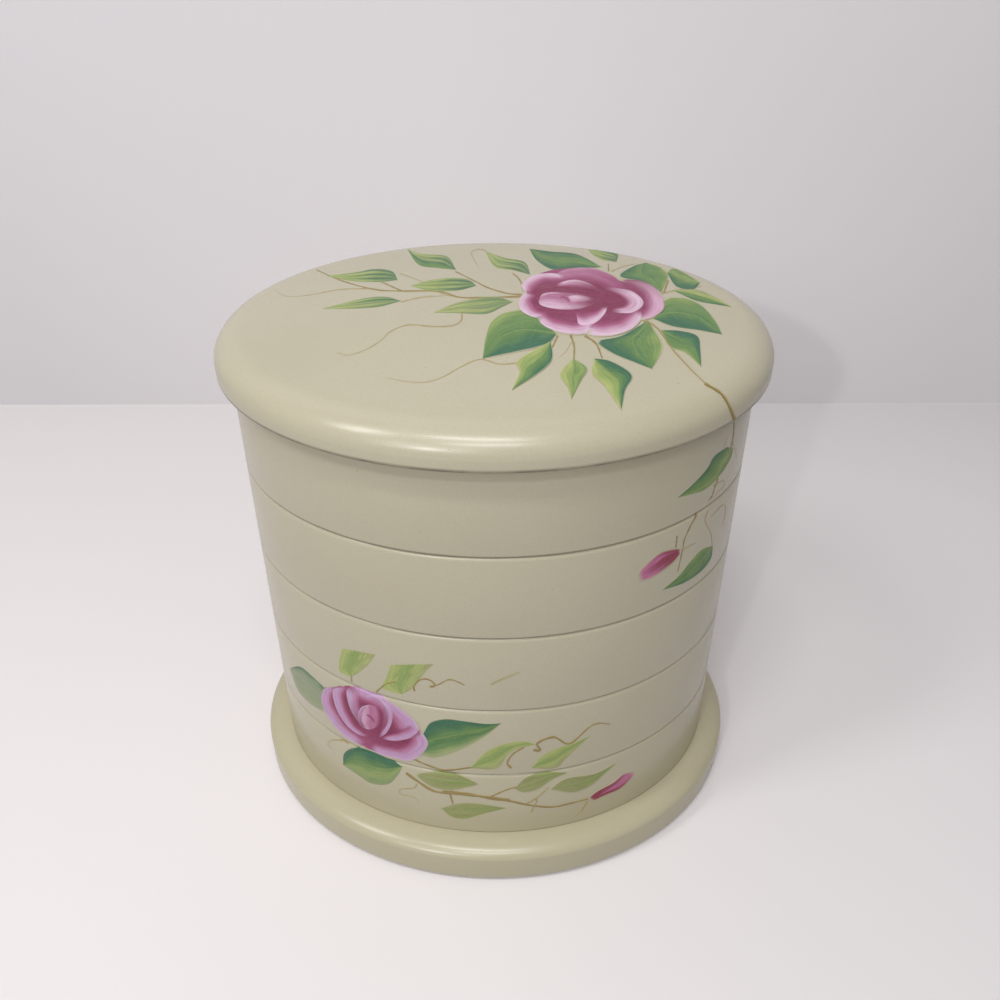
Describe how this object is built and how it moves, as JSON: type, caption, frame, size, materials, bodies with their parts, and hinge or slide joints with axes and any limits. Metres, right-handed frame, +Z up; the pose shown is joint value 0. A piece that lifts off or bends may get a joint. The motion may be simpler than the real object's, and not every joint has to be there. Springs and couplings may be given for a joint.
{
  "type": "swivel jewellery box",
  "caption": "Oval painted wooden jewellery box whose stacked trays and lid swing out on one upright rod at the back.",
  "frame": {"origin": "centre of the underside of the felt, where the box stands", "axes": "+Z up, -Y towards the front, +X to the right seen from the front"},
  "size_m": [0.1728, 0.1448, 0.174],
  "materials": {
    "painted_wood": "satin sage-cream paint with hand-painted rose sprays",
    "bare_board": "bare wood fibre board",
    "velvet_board": "thin board covered with flocked velvet",
    "velvet": "dusky rose velvet",
    "felt": "pressed grey felt",
    "steel": "zinc plated steel",
    "brass": "satin brass",
    "nylon": "natural nylon"
  },
  "bodies": {
    "base": {"base_board": "painted_wood", "base_felt": "felt", "base_screw_1": "steel", "base_screw_2": "steel", "base_screw_3": "steel", "base_screw_4": "steel", "pivot_rod": "steel", "plain_washer": "steel", "spring_washer": "steel", "rod_nut": "steel", "tray_1_washer": "nylon", "tray_2_washer": "nylon", "tray_3_washer": "nylon", "tray_4_washer": "nylon", "tray_5_washer": "nylon", "tray_5_shell": "painted_wood", "tray_5_floor": "bare_board", "tray_5_liner": "velvet"},
    "lid": {"lid_board": "painted_wood", "lid_lining": "velvet", "lid_pivot_plate": "brass", "lid_plate_screw_1": "brass", "lid_plate_screw_2": "brass", "lid_plate_screw_3": "brass"},
    "tray_1": {"tray_1_shell": "painted_wood", "tray_1_floor": "bare_board", "tray_1_liner": "velvet", "tray_1_bush": "nylon", "tray_1_long_divider": "velvet_board", "tray_1_rear_divider": "velvet_board", "ring_roll_1": "velvet", "ring_roll_2": "velvet", "ring_roll_3": "velvet", "ring_roll_4": "velvet", "ring_roll_5": "velvet"},
    "tray_2": {"tray_2_shell": "painted_wood", "tray_2_floor": "bare_board", "tray_2_liner": "velvet", "tray_2_bush": "nylon", "tray_2_long_divider": "velvet_board", "tray_2_rear_divider": "velvet_board", "tray_2_left_divider": "velvet_board", "tray_2_right_divider": "velvet_board"},
    "tray_3": {"tray_3_shell": "painted_wood", "tray_3_floor": "bare_board", "tray_3_liner": "velvet", "tray_3_bush": "nylon", "tray_3_divider": "velvet_board"},
    "tray_4": {"tray_4_shell": "painted_wood", "tray_4_floor": "bare_board", "tray_4_liner": "velvet", "tray_4_bush": "nylon"}
  },
  "joints": [
    {"name": "tray_1_swivel", "type": "hinge", "parent": "base", "child": "tray_1", "pos_m": [0, 0.051, 0.1], "axis": [0, 0, 1], "continuous": true},
    {"name": "tray_2_swivel", "type": "hinge", "parent": "base", "child": "tray_2", "pos_m": [0, 0.051, 0.1], "axis": [0, 0, 1], "continuous": true},
    {"name": "tray_3_swivel", "type": "hinge", "parent": "base", "child": "tray_3", "pos_m": [0, 0.051, 0.1], "axis": [0, 0, 1], "continuous": true},
    {"name": "tray_4_swivel", "type": "hinge", "parent": "base", "child": "tray_4", "pos_m": [0, 0.051, 0.1], "axis": [0, 0, 1], "continuous": true},
    {"name": "lid_swivel", "type": "hinge", "parent": "base", "child": "lid", "pos_m": [0, 0.051, 0.165], "axis": [0, 0, 1], "continuous": true}
  ]
}
